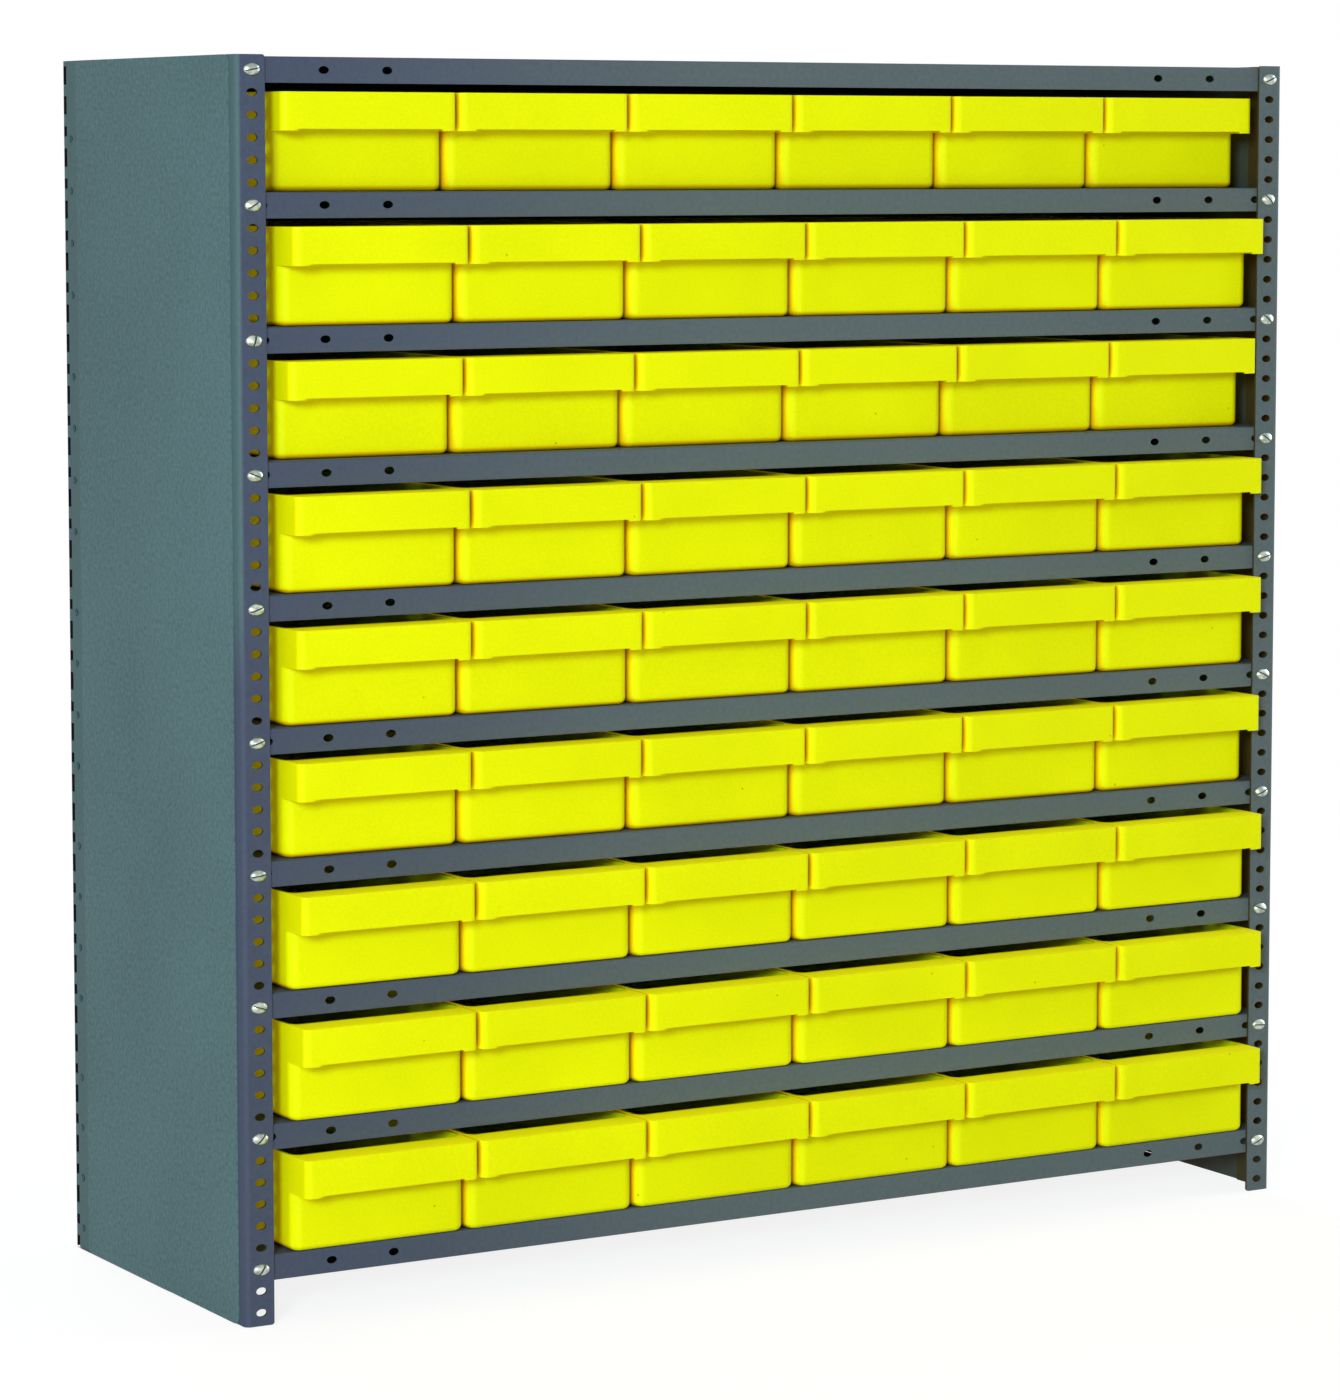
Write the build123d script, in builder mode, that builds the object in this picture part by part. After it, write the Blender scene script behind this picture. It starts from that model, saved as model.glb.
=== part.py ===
from build123d import *
import os

# A closed shelving unit: a bolted sheet-steel frame with shelves and rows of plastic drawers that pull out.
# Millimetres. Z is up, the drawers face -Y, and the origin is the middle of the footprint on the floor.

# Overall unit, over the side panels and from the posts' front to the back panel
unit_width = 914.4
unit_depth = 304.8
row_count = 9
column_count = 6

# Sheet gauges
post_gauge = 2.0
side_gauge = 1.0
back_gauge = 1.0
shelf_gauge = 1.0

# Corner posts: bent angles with the narrow flange to the front or rear
post_face = 22.5
post_side = 40.0
post_bend = 4.5
post_corner = 2.0
post_top_rise = 10.5

# Punched holes up the posts, counted from the floor
hole_space = 15.75
holes_per_bay = 6
hole_diameter = 6.0
hole_inset = 12.5
foot_hole_height = 9.5
foot_hole_count = 2

# Side and back panels, set in from the bends of the posts
side_front_margin = 11.0
side_rear_margin = 29.0
side_corner = 6.0
back_margin = 6.5

# Shelves: pans with turned-down edges
shelf_flange = 18.4
shelf_bend = 1.5
shelf_end_gap = 3.0
shelf_hole_near = 11.0
shelf_hole_middle = 57.0
shelf_hole_far = 107.0

# Round-head bolts, each with its nut
head_diameter = 10.5
head_top_diameter = 7.0
head_height = 3.0
shank_diameter = 4.8
nut_across = 10.6
nut_height = 3.8

# Drawers: tubs with a hollow pull lip along the top of the front
drawer_left_gap = 15.0
drawer_right_gap = 3.4
drawer_gap = 3.0
drawer_headroom = 6.1
drawer_seat_gap = 0.2
drawer_wall = 2.2
drawer_floor = 2.2
drawer_corner = 7.0
drawer_foot = 3.5
lip_reach = 23.0
lip_height = 27.4
lip_corner = 3.0

# How the drawers stand: pushed home in the top row, and pulled a little way out in the others
home_setback = 3.5
home_rear_gap = 4.0
pulled_most = 27.0
row_pulled_shares = (0.0, 0.69, 0.37, 0.74, 0.78, 0.74, 0.93, 0.98, 1.0)

# Small repeated rounds are drawn with a few flats, the shanks and the holes that they fill with the fewest
small_round_sides = 6
head_sides = 8
shank_sides = 4

# Cuts start and end this far outside the sheet
overrun = 1.0

# Heights of the bolts, shelves and posts
shelf_pitch = hole_space * holes_per_bay
first_bolt_z = foot_hole_height + foot_hole_count * hole_space
post_hole_count = foot_hole_count + row_count * holes_per_bay + 1
unit_height = first_bolt_z + row_count * shelf_pitch + post_top_rise
first_deck_z = first_bolt_z + shelf_flange / 2

# Places from front to rear
lip_overhang = pulled_most - home_setback
front_y = lip_overhang - (lip_overhang + unit_depth + head_height) / 2
back_y = front_y + unit_depth
post_rear_y = back_y - back_gauge
shelf_front_y = front_y + post_gauge
shelf_rear_y = post_rear_y - post_gauge

# Places from side to side, as distances from the middle
post_outer_x = unit_width / 2 - side_gauge
bolt_x = post_outer_x - hole_inset
shelf_length = 2 * (post_outer_x - post_gauge - shelf_end_gap)

# Drawer sizes that fill the space between the posts and between the shelves
clear_width = 2 * (post_outer_x - post_face)
drawer_pitch = (clear_width - drawer_left_gap - drawer_right_gap + drawer_gap) / column_count
drawer_width = drawer_pitch - drawer_gap
drawer_height = shelf_pitch - shelf_flange - drawer_headroom
drawer_length = unit_depth - back_gauge - home_setback - home_rear_gap
tub_length = drawer_length - lip_reach
first_drawer_x = -clear_width / 2 + drawer_left_gap + drawer_width / 2

parts_folder = "parts"
os.makedirs(parts_folder, exist_ok=True)

# The column of bolts at one post, and the same column at all four posts
bolt_heights = [first_bolt_z + level * shelf_pitch for level in range(row_count + 1)]
both_sides = (-bolt_x, bolt_x)
bolt_grid = [(x, z) for x in both_sides for z in bolt_heights]
open_hole_heights = [
    foot_hole_height + number * hole_space
    for number in range(1, post_hole_count)
    if (number - foot_hole_count) % holes_per_bay
]

front_plane = Plane.XZ.offset(-front_y)
back_plane = Plane.XZ.offset(-back_y)


def save(piece, name):
    """Labels a finished piece and writes it to its own file."""
    piece.label = name
    export_step(piece, f"{parts_folder}/{name}.step")


def angle_section(outer_x, outer_y, inward):
    """A bent angle's section with its outer corner at the place given, its side flange running the inward way in Y."""
    inner_x = outer_x + post_gauge
    inner_y = outer_y + inward * post_gauge
    face_end_x = outer_x + post_face
    side_end_y = outer_y + inward * post_side
    with BuildSketch() as section:
        with BuildLine():
            Polyline(
                (outer_x, outer_y),
                (face_end_x, outer_y),
                (face_end_x, inner_y),
                (inner_x, inner_y),
                (inner_x, side_end_y),
                (outer_x, side_end_y),
                close=True,
            )
        make_face()
        fillet(section.vertices().sort_by_distance((outer_x, outer_y))[0], post_bend)
        fillet(section.vertices().sort_by_distance((inner_x, inner_y))[0], post_bend - post_gauge)
    return section.sketch


# Two front posts and two rear posts: the left one is made, then mirrored to the right

with BuildPart() as front_posts:
    add(angle_section(-post_outer_x, front_y, 1))
    extrude(amount=unit_height)
    face_ends = front_posts.edges().filter_by(Axis.Y).group_by(Axis.X)[-1]
    chamfer(face_ends, post_corner)
    with BuildSketch(front_plane):
        with Locations((-bolt_x, foot_hole_height)):
            Circle(hole_diameter / 2)
        with Locations(*[(-bolt_x, z) for z in open_hole_heights]):
            RegularPolygon(hole_diameter / 2, small_round_sides)
        with Locations(*[(-bolt_x, z) for z in bolt_heights]):
            RegularPolygon(hole_diameter / 2, shank_sides)
    extrude(amount=post_gauge + overrun, both=True, mode=Mode.SUBTRACT)
    mirror(about=Plane.YZ)

save(front_posts.part, "front_posts")

with BuildPart() as rear_posts:
    add(angle_section(-post_outer_x, post_rear_y, -1))
    extrude(amount=unit_height)
    with BuildSketch(Plane.XZ.offset(-post_rear_y)):
        with Locations(*[(-bolt_x, z) for z in bolt_heights]):
            RegularPolygon(hole_diameter / 2, shank_sides)
    extrude(amount=post_gauge + overrun, both=True, mode=Mode.SUBTRACT)
    mirror(about=Plane.YZ)

save(rear_posts.part, "rear_posts")

# Two side panels on the outside of the posts' side flanges

with BuildPart() as side_panels:
    with BuildSketch(Plane.YZ.offset(-unit_width / 2)) as outline:
        panel_length = unit_depth - side_front_margin - side_rear_margin
        with Locations((front_y + side_front_margin, 0)):
            Rectangle(panel_length, unit_height, align=Align.MIN)
        chamfer(outline.vertices(), side_corner)
    extrude(amount=side_gauge)
    mirror(about=Plane.YZ)

save(side_panels.part, "side_panels")

# One back panel on the outside of the posts' rear flanges

with BuildPart() as back_panel:
    with BuildSketch(back_plane):
        Rectangle(2 * (post_outer_x - back_margin), unit_height, align=(Align.CENTER, Align.MIN))
        with Locations(*bolt_grid):
            RegularPolygon(hole_diameter / 2, shank_sides, mode=Mode.SUBTRACT)
    extrude(amount=back_gauge)

save(back_panel.part, "back_panel")

# One shelf at the lowest place, then a copy at every level

with BuildPart() as shelf:
    with BuildSketch(Plane.XY.offset(first_deck_z - shelf_flange)):
        with Locations((0, shelf_front_y)):
            Rectangle(shelf_length, shelf_rear_y - shelf_front_y, align=(Align.CENTER, Align.MIN))
    extrude(amount=shelf_flange)
    chamfer(shelf.faces().sort_by(Axis.Z)[-1].edges().filter_by(Axis.X), shelf_bend)
    offset(amount=-shelf_gauge, openings=shelf.faces().sort_by(Axis.Z)[0])
    with BuildSketch(Plane.XZ.offset(-shelf_front_y)):
        with Locations((-bolt_x, first_bolt_z), (bolt_x, first_bolt_z)):
            RegularPolygon(hole_diameter / 2, shank_sides)
        for inset in (shelf_hole_near, shelf_hole_middle, shelf_hole_far):
            with Locations((inset - bolt_x, first_bolt_z), (bolt_x - inset, first_bolt_z)):
                RegularPolygon(hole_diameter / 2, small_round_sides)
    extrude(amount=shelf_gauge + overrun, both=True, mode=Mode.SUBTRACT)
    with BuildSketch(Plane.XZ.offset(-shelf_rear_y)):
        with Locations((-bolt_x, first_bolt_z), (bolt_x, first_bolt_z)):
            RegularPolygon(hole_diameter / 2, shank_sides)
    extrude(amount=shelf_gauge + overrun, both=True, mode=Mode.SUBTRACT)

with BuildPart() as shelves:
    with Locations(*[(0, 0, level * shelf_pitch) for level in range(row_count + 1)]):
        add(shelf.part)

save(shelves.part, "shelves")


def bolt_with_grip(grip):
    """A round-head bolt along Y with its head's seat at the origin and its nut run up to the sheets that it grips."""
    with BuildPart() as bolt:
        with BuildSketch(Plane.XZ):
            RegularPolygon(head_diameter / 2, head_sides)
        with BuildSketch(Plane.XZ.offset(head_height)):
            RegularPolygon(head_top_diameter / 2, head_sides)
        loft(ruled=True)
        with BuildSketch(Plane.XZ):
            RegularPolygon(shank_diameter / 2, shank_sides)
        extrude(amount=-grip)
        with BuildSketch(Plane.XZ.offset(-grip)):
            RegularPolygon(nut_across / 2, small_round_sides)
        extrude(amount=-nut_height)
    return bolt.part


# Bolts at the four corners of every shelf, the rear ones turned to face the back

front_grip = post_gauge + shelf_gauge
rear_grip = front_grip + back_gauge

with BuildPart() as bolts:
    with Locations(*[Location((x, front_y, z)) for x, z in bolt_grid]):
        add(bolt_with_grip(front_grip))
    with Locations(*[Location((x, back_y, z), (0, 0, 180)) for x, z in bolt_grid]):
        add(bolt_with_grip(rear_grip))

save(bolts.part, "bolts")

# One moulded drawer with its lip's front at Y 0 and its foot at Z 0

with BuildPart() as drawer:
    with BuildSketch() as tub_outline:
        with Locations((0, lip_reach)):
            Rectangle(drawer_width, tub_length, align=(Align.CENTER, Align.MIN))
        chamfer(tub_outline.vertices().group_by(Axis.Y)[0], drawer_corner)
    extrude(amount=drawer_height)
    chamfer(drawer.faces().sort_by(Axis.Z)[0].edges(), drawer_foot)
    with BuildSketch(Plane.XY.offset(drawer_height - lip_height)) as lip_outline:
        Rectangle(drawer_width, lip_reach + drawer_corner, align=(Align.CENTER, Align.MIN))
        chamfer(lip_outline.vertices().group_by(Axis.Y)[0], lip_corner)
    extrude(amount=lip_height)
    with BuildSketch(Plane.XY.offset(drawer_floor)):
        offset(tub_outline.sketch, amount=-drawer_wall, kind=Kind.INTERSECTION)
    extrude(amount=drawer_height, mode=Mode.SUBTRACT)
    with BuildSketch(Plane.XY.offset(drawer_height - lip_height)):
        with Locations((0, drawer_wall)):
            finger_width = drawer_width - 2 * drawer_wall
            Rectangle(finger_width, lip_reach - drawer_wall, align=(Align.CENTER, Align.MIN))
    extrude(amount=lip_height - drawer_wall, mode=Mode.SUBTRACT)

# A copy of the drawer at every place, row 1 at the top and column 1 at the left

for row in range(row_count):
    deck_z = first_deck_z + (row_count - 1 - row) * shelf_pitch
    lip_y = front_y + home_setback - row_pulled_shares[row] * pulled_most
    for column in range(column_count):
        drawer_x = first_drawer_x + column * drawer_pitch
        place = Location((drawer_x, lip_y, deck_z + drawer_seat_gap))
        save(drawer.part.moved(place), f"drawer_row{row + 1}_col{column + 1}")
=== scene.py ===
"""Looks for a closed shelving unit: a bolted steel frame with rows of moulded drawers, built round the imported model."""
import math

import bmesh
import bpy
from bpy.props import FloatProperty, FloatVectorProperty, IntProperty, PointerProperty
from mathutils import Matrix, Vector


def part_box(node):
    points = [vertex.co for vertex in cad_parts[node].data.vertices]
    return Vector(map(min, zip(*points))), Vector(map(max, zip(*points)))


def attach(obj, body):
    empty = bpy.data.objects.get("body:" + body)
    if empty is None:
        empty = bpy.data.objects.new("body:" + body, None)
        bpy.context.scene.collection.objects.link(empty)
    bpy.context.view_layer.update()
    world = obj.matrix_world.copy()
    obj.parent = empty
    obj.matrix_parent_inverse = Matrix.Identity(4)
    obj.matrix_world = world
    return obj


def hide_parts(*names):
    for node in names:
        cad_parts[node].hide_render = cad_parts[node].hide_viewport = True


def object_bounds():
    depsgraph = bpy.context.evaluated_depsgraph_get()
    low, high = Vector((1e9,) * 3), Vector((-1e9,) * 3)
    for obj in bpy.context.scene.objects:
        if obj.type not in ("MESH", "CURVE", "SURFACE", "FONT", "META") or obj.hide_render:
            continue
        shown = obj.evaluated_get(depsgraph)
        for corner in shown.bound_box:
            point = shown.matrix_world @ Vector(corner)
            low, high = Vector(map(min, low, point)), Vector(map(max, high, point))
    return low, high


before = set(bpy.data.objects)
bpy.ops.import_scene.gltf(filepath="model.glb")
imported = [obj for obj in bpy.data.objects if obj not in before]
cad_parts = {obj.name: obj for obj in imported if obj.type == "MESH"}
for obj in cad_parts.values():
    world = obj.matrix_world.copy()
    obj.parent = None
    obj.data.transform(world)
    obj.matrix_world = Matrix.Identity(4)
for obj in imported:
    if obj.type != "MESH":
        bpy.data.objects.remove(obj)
cad_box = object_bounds()

bl_info = {
    "name": "Closed Shelving Unit",
    "version": (1, 0, 0),
    "blender": (4, 5, 0),
    "location": "View3D > Sidebar > Shelving",
    "description": "Builds the finished look of a steel shelving unit with pull-out drawers",
    "category": "Object",
}

MM = 0.001
FRAME_BODY = "frame"
WHITE = (1.0, 1.0, 1.0, 1.0)

# Points closer than this count as one place
TOUCH = 1e-6
# Slivers thinner than this are cleaned away after a cut
SLIVER = 0.003 * MM
# Edges sharper than this stay crisp in the shading
CRISP_EDGE = math.radians(32)
# Flats round a punched hole
HOLE_SIDES = 20

post_low, post_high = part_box("front_posts")
rear_low, rear_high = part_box("rear_posts")
side_low, side_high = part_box("side_panels")
shelf_low, shelf_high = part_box("shelves")
bolt_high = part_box("bolts")[1]
drawer_nodes = sorted(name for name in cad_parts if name.startswith("drawer_"))
drawer_low, drawer_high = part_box(drawer_nodes[0])


def linear(hex_colour):
    """Turns an sRGB hex colour into linear red, green, blue and alpha."""
    shares = [int(hex_colour[i:i + 2], 16) / 255 for i in (1, 3, 5)]
    return (*[s / 12.92 if s <= 0.04045 else ((s + 0.055) / 1.055) ** 2.4 for s in shares], 1.0)


def length(name, millimetres, description):
    """A length property with its default in millimetres."""
    return FloatProperty(
        name=name, description=description, default=millimetres * MM, min=0.0, unit="LENGTH", precision=5
    )


def colour(name, hex_colour, description):
    """A colour property with its default as an sRGB hex value."""
    return FloatVectorProperty(
        name=name, description=description, default=linear(hex_colour), size=4, min=0.0, max=1.0, subtype="COLOR"
    )


class ShelvingFrameSizes(bpy.types.PropertyGroup):
    """Sizes of the sheet-steel frame."""

    post_gauge: length("Post gauge", 2.0, "Sheet thickness of the corner posts")
    post_face: length("Post face", 22.5, "Width of the posts' front and rear flanges")
    post_bend: length("Post bend", 4.5, "Outer radius of the posts' bend")
    post_corner: length("Post corner", 2.0, "Rounding of the flange's free corners")
    hole_space: length("Hole spacing", 15.75, "Distance between punched holes up a post")
    hole_foot: length("Foot hole", 9.5, "Height of the lowest hole")
    hole_inset: length("Hole inset", 12.5, "Distance of the holes from the post's outer face")
    hole_width: length("Hole width", 8.4, "Width of a punched hole in a post")
    hole_height: length("Hole height", 5.6, "Height of a punched hole in a post")
    slot_top: length("Top slot", 10.7, "Distance of the first slot from the top of a rear post")
    slot_pair: length("Slot pair", 22.2, "Distance between the two long slots that open each run")
    slot_space: length("Slot spacing", 19.45, "Distance between the other slots of a run")
    slot_width: length("Slot width", 6.4, "Width of the slots")
    slot_long: length("Long slot", 13.5, "Length of the long slots")
    slot_short: length("Short slot", 7.5, "Length of the short slots")
    slot_inset: length("Slot inset", 5.8, "Distance of the slots from the posts' rear face")
    peg_inset: length("Peg hole inset", 16.5, "Distance of the small side holes from the posts' rear face")
    peg_drop: length("Peg hole drop", 5.6, "How far each small side hole is below its short slot")
    peg_diameter: length("Peg hole diameter", 6.0, "Diameter of the small side holes")
    panel_gauge: length("Panel gauge", 1.0, "Sheet thickness of the side panels")
    panel_corner: length("Panel corner", 6.0, "Rounding of the side panels' corners")
    shelf_gauge: length("Shelf gauge", 1.0, "Sheet thickness of the shelves")
    shelf_flange: length("Shelf flange", 18.4, "Depth of the shelves' turned-down edges")
    shelf_bend: length("Shelf bend", 1.5, "Outer radius of the shelves' bends")
    shelf_pitch: length("Shelf pitch", 94.5, "Distance from shelf to shelf")
    shelf_hole_middle: length("Middle shelf hole", 57.0, "Distance of a shelf's second hole from the bolt")
    shelf_hole_far: length("Far shelf hole", 107.0, "Distance of a shelf's third hole from the bolt")
    shelf_count: IntProperty(name="Shelves", description="Number of shelves", default=10, min=1)
    head_width: length("Head width", 13.0, "Width of the bolts' rounded heads")
    head_depth: length("Head depth", 9.2, "Upright size of the bolts' rounded heads")
    head_rise: length("Head rise", 3.0, "How far the bolts' heads stand out")
    head_slot: length("Head slot", 1.4, "Width of the slot across a bolt's head")
    shank_diameter: length("Shank diameter", 4.8, "Diameter of the bolts' shanks")
    nut_across: length("Nut across corners", 10.6, "Size of the nuts over their corners")
    nut_height: length("Nut height", 3.8, "Thickness of the nuts")


class ShelvingDrawerSizes(bpy.types.PropertyGroup):
    """Sizes of one moulded drawer."""

    wall: length("Wall", 2.2, "Thickness of the drawer's walls, floor and lip")
    corner: length("Corner", 8.0, "Radius of the tub's upright corners")
    foot: length("Foot", 4.5, "Radius of the tub's lower edge")
    lip_reach: length("Lip reach", 23.0, "How far the pull lip stands out from the tub")
    lip_height: length("Lip height", 27.4, "Height of the pull lip")
    lip_corner: length("Lip corner", 5.5, "Radius of the lip's upright corners")
    lip_tab: length("Lip tab", 12.0, "Length of the lower tab at each end of the lip")
    lip_notch: length("Lip notch", 1.3, "How far the lip's lower edge is raised between the tabs")
    rim: length("Rim", 0.5, "Rounding of the moulded rims")


class ShelvingColours(bpy.types.PropertyGroup):
    """Colours of the finishes."""

    drawer: colour("Drawer", "#E4EE00", "Yellow of the moulded drawers")
    # Painted shade: the warmer yellow laid into the drawers' corners, folds and gaps
    drawer_fold_shade: colour("Drawer deep", "#DDB200", "Warmer yellow in the drawers' corners and shaded folds")
    # Painted glow: light painted on the drawers' outer sides and lip tops, though the plastic is no lamp
    drawer_painted_glow: colour("Drawer glow", "#716100", "Light that the thin walls carry to their sides and lip tops")
    speck: colour("Speck", "#9A5A00", "Tiny brown specks in the drawers' plastic")
    post_left: colour("Post left", "#424C62", "Blue grey enamel of posts and shelves towards the left")
    post_right: colour("Post right", "#556369", "Green grey enamel of posts and shelves towards the right")
    panel: colour("Panel", "#506E74", "Green grey enamel of the panels")
    # Painted shade on the side panels' inside
    panel_inside: colour("Panel inside", "#42483E", "Thin dark coat on the inside of the side panels")
    # The rear posts' own enamel, and painted light on the sides of the front posts and shelves
    post_side: colour("Post side", "#4A656A", "Darker green grey enamel of the rear posts and of the posts' sides")
    # Painted shade inside the front posts, with painted light bounced off the drawers
    post_inside: colour("Post inside", "#3F361A", "Thin brown coat on the inside of the front posts")
    # Painted shade inside the rear posts and their slots
    rear_post_shade: colour("Bare steel", "#101414", "Dark steel inside the rear posts and their slots")
    # Painted shade in the bolts' slots
    slot_shade: colour("Grime", "#4C5450", "Grey dirt in the bolts' slots")
    zinc: colour("Zinc", "#C8D0C4", "Bright zinc plate of the bolts")
    zinc_dull: colour("Dull zinc", "#929E96", "Clouded patches of the zinc plate")
    floor: colour("Floor", "#B8B8B8", "Pale floor, as it bounces light")


def add_node(tree, kind, inputs=None, **settings):
    """Adds a shader node with its settings; an input is a value or another node's output."""
    node = tree.nodes.new("ShaderNode" + kind)
    for name, value in settings.items():
        setattr(node, name, value)
    for socket, value in (inputs or {}).items():
        if isinstance(value, bpy.types.NodeSocket):
            tree.links.new(value, node.inputs[socket])
        else:
            node.inputs[socket].default_value = value
    return node


def new_material(name):
    """An empty node material with its output, and the object coordinates that its patterns read."""
    material = bpy.data.materials.new(name)
    material.use_nodes = True
    tree = material.node_tree
    tree.nodes.clear()
    output = add_node(tree, "OutputMaterial")
    place = add_node(tree, "TexCoord").outputs["Object"]
    return material, tree, output, place


def painted_glow_share(tree, place, fold):
    """Where to paint glow: a share of painted light on a wall's sides and more on its top, standing in for light a thin
    wall would carry back from the lit front.
    """
    facing = add_node(tree, "SeparateXYZ", {"Vector": add_node(tree, "TexCoord").outputs["Normal"]})
    aside = add_node(tree, "Math", {0: facing.outputs["X"]}, operation="ABSOLUTE")
    square = add_node(tree, "MapRange", {"Value": aside.outputs[0], "From Min": 0.7, "From Max": 1.0})
    upward = add_node(tree, "MapRange", {"Value": facing.outputs["Z"], "From Min": 0.7, "From Max": 1.0, "To Max": 1.6})
    turned = add_node(tree, "Math", {0: square.outputs[0], 1: upward.outputs[0]}, operation="MAXIMUM")
    # It is lost where the next drawer is close, and within a hand's breadth of the front
    free = add_node(tree, "MapRange", {"Value": fold, "From Min": 0.08, "From Max": 0.4})
    spread = add_node(tree, "Math", {0: turned.outputs[0], 1: free.outputs[0]}, operation="MULTIPLY")
    full_until, none_after = post_low.y + 50 * MM, post_low.y + 130 * MM
    spot = add_node(tree, "SeparateXYZ", {"Vector": place})
    fall = add_node(
        tree,
        "MapRange",
        {"Value": spot.outputs["Y"], "From Min": full_until, "From Max": none_after, "To Min": 1.0, "To Max": 0.0},
    )
    return add_node(tree, "Math", {0: spread.outputs[0], 1: fall.outputs[0]}, operation="MULTIPLY").outputs[0]


def moulded_polypropylene(name, painted_glow):
    """Injection-moulded polypropylene: a satin skin with a fine pebble grain, tiny specks and painted warm shade in its
    folds, and, where asked, a painted glow on the outer sides and lip tops.
    """
    colours = bpy.context.scene.shelving_colours
    fold_reach, drift_size, grain_size, speck_space = 26 * MM, 90 * MM, 1.6 * MM, 30 * MM
    material, tree, output, place = new_material(name)
    # Painted shade: folds and gaps take a warmer, deeper yellow, standing in for the shade and the light bounced
    # between yellow walls there
    fold = add_node(tree, "AmbientOcclusion", {"Distance": fold_reach}, samples=8).outputs["AO"]
    depth = add_node(
        tree, "MapRange", {"Value": fold, "From Min": 0.25, "From Max": 0.65, "To Min": 1.0, "To Max": 0.0}
    )
    warm = add_node(tree, "MixRGB", {"Fac": depth.outputs[0], "Color1": colours.drawer, "Color2": colours.drawer_fold_shade})
    drift = add_node(tree, "TexNoise", {"Vector": place, "Scale": 1 / drift_size, "Detail": 2.0})
    # The pebble grain is drawn coarser than the mould's own, which would be too fine to show
    grain = add_node(tree, "TexNoise", {"Vector": place, "Scale": 1 / grain_size, "Detail": 3.0}).outputs["Fac"]
    both = add_node(tree, "Math", {0: drift.outputs["Fac"], 1: grain}, operation="ADD")
    shade = add_node(
        tree, "MapRange", {"Value": both.outputs[0], "From Min": 0.7, "From Max": 1.3, "To Min": 0.95, "To Max": 1.05}
    )
    toned = add_node(tree, "HueSaturation", {"Color": warm.outputs[0], "Value": shade.outputs[0]})
    speck = add_node(tree, "TexVoronoi", {"Vector": place, "Scale": 1 / speck_space, "Randomness": 1.0})
    dot = add_node(
        tree,
        "MapRange",
        {"Value": speck.outputs["Distance"], "From Min": 0.015, "From Max": 0.035, "To Min": 0.6, "To Max": 0.0},
    )
    specked = add_node(tree, "MixRGB", {"Fac": dot.outputs[0], "Color1": toned.outputs[0], "Color2": colours.speck})
    bump = add_node(tree, "Bump", {"Height": grain, "Strength": 0.15, "Distance": 0.3 * MM})
    gloss = add_node(
        tree, "MapRange", {"Value": grain, "From Min": 0.3, "From Max": 0.7, "To Min": 0.5, "To Max": 0.64}
    )
    look = {
        "Base Color": specked.outputs[0],
        "Roughness": gloss.outputs[0],
        "Normal": bump.outputs[0],
        "IOR": 1.49,
        "Specular IOR Level": 0.08,
    }
    # A painted glow on the outer sides and lip tops
    if painted_glow:
        look["Emission Color"] = colours.drawer_painted_glow
        look["Emission Strength"] = painted_glow_share(tree, place, fold)
    skin = add_node(tree, "BsdfPrincipled", look)
    tree.links.new(skin.outputs[0], output.inputs["Surface"])
    return material


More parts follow.
